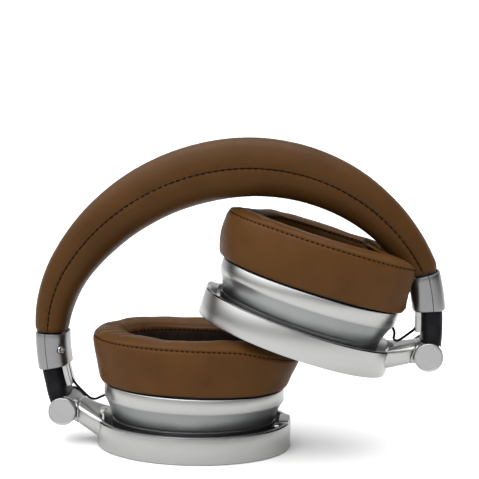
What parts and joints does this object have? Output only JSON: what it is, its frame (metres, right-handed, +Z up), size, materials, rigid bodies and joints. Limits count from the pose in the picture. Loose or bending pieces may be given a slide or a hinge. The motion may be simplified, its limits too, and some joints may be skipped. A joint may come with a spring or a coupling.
{
  "type": "over ear headphones",
  "caption": "Folding over-ear headphones with silver metal cups and yokes, brown leather pads and a padded brown leather headband, lying folded with one cup over the other.",
  "frame": {"origin": "under the middle of the folded headphones, on the surface they lie on", "axes": "+X from the left cup's hinge to the right cup's hinge, +Y to the back, +Z up"},
  "size_m": [0.188, 0.072, 0.1424],
  "materials": {
    "brown_leather": "smooth brown artificial leather with fine grain",
    "foam": "grey polyurethane foam",
    "steel": "bright spring and pin steel",
    "satin_aluminium": "satin silver with polished edges",
    "plate_aluminium": "fine brushed silver plate",
    "black_plastic": "matte black moulded plastic",
    "black_cable": "soft black cable jacket",
    "ear_cloth": "thin black acoustic cloth",
    "cone_film": "thin driver film",
    "circuit_board": "green circuit board"
  },
  "bodies": {
    "headband": {"headband_top_leather": "brown_leather", "headband_lower_leather": "brown_leather", "headband_top_foam": "foam", "headband_lower_foam": "foam", "headband_spring": "steel", "headband_cable": "black_cable", "left_band_insert": "black_plastic", "right_band_insert": "black_plastic", "left_collar_outer": "satin_aluminium", "left_collar_inner": "satin_aluminium", "left_collar_screw": "steel", "right_collar_outer": "satin_aluminium", "right_collar_inner": "satin_aluminium", "right_collar_screw": "steel"},
    "left_arm": {"left_slider_arm": "black_plastic", "left_slider_rail": "satin_aluminium", "left_hinge_pin": "steel", "left_hinge_cap_front": "satin_aluminium", "left_hinge_cap_rear": "satin_aluminium"},
    "right_arm": {"right_slider_arm": "black_plastic", "right_slider_rail": "satin_aluminium", "right_hinge_pin": "steel", "right_hinge_cap_front": "satin_aluminium", "right_hinge_cap_rear": "satin_aluminium"},
    "left_fork": {"left_yoke": "satin_aluminium", "left_pivot_pin_near": "steel", "left_pivot_pin_far": "steel", "left_cup_lead": "black_cable"},
    "right_fork": {"right_yoke": "satin_aluminium", "right_pivot_pin_near": "steel", "right_pivot_pin_far": "steel", "right_cup_lead": "black_cable"},
    "left_cup": {"left_cup_shell": "satin_aluminium", "left_back_plate": "plate_aluminium", "left_baffle": "black_plastic", "left_driver_frame": "black_plastic", "left_driver_magnet": "steel", "left_driver_diaphragm": "cone_film", "left_ear_cloth": "ear_cloth", "left_pad_ring": "black_plastic", "left_ear_pad": "brown_leather", "left_circuit_board": "circuit_board", "left_audio_socket": "black_plastic"},
    "right_cup": {"right_cup_shell": "satin_aluminium", "right_back_plate": "plate_aluminium", "right_baffle": "black_plastic", "right_driver_frame": "black_plastic", "right_driver_magnet": "steel", "right_driver_diaphragm": "cone_film", "right_ear_cloth": "ear_cloth", "right_pad_ring": "black_plastic", "right_ear_pad": "brown_leather"}
  },
  "joints": [
    {"name": "left_slide", "type": "slide", "parent": "headband", "child": "left_arm", "axis": [0.0889, 0, -0.996], "range_m": [0, 0.012]},
    {"name": "right_slide", "type": "slide", "parent": "headband", "child": "right_arm", "axis": [0.165, 0, -0.9863], "range_m": [0, 0.012]},
    {"name": "left_fold", "type": "hinge", "parent": "left_arm", "child": "left_fork", "pos_m": [-0.0804, 0, 0.016], "axis": [0, 1, 0], "range_deg": [0, 83], "deforming": ["left_cup_lead"]},
    {"name": "right_fold", "type": "hinge", "parent": "right_arm", "child": "right_fork", "pos_m": [0.08572, 0, 0.04597], "axis": [0, -1, 0], "range_deg": [0, 69.72], "deforming": ["right_cup_lead"]},
    {"name": "left_swivel", "type": "hinge", "parent": "left_fork", "child": "left_cup", "pos_m": [-0.0207, 0, 0.009], "axis": [1, 0, 0], "range_deg": [-6, 6]},
    {"name": "right_swivel", "type": "hinge", "parent": "right_fork", "child": "right_cup", "pos_m": [0.02678, 0, 0.05776], "axis": [-0.9511, 0, 0.309], "range_deg": [-6, 6]}
  ],
  "couplings": [
    {"joint": "right_slide", "follows": "left_slide", "ratio": 1},
    {"joint": "right_fold", "follows": "left_fold", "ratio": 0.84}
  ]
}
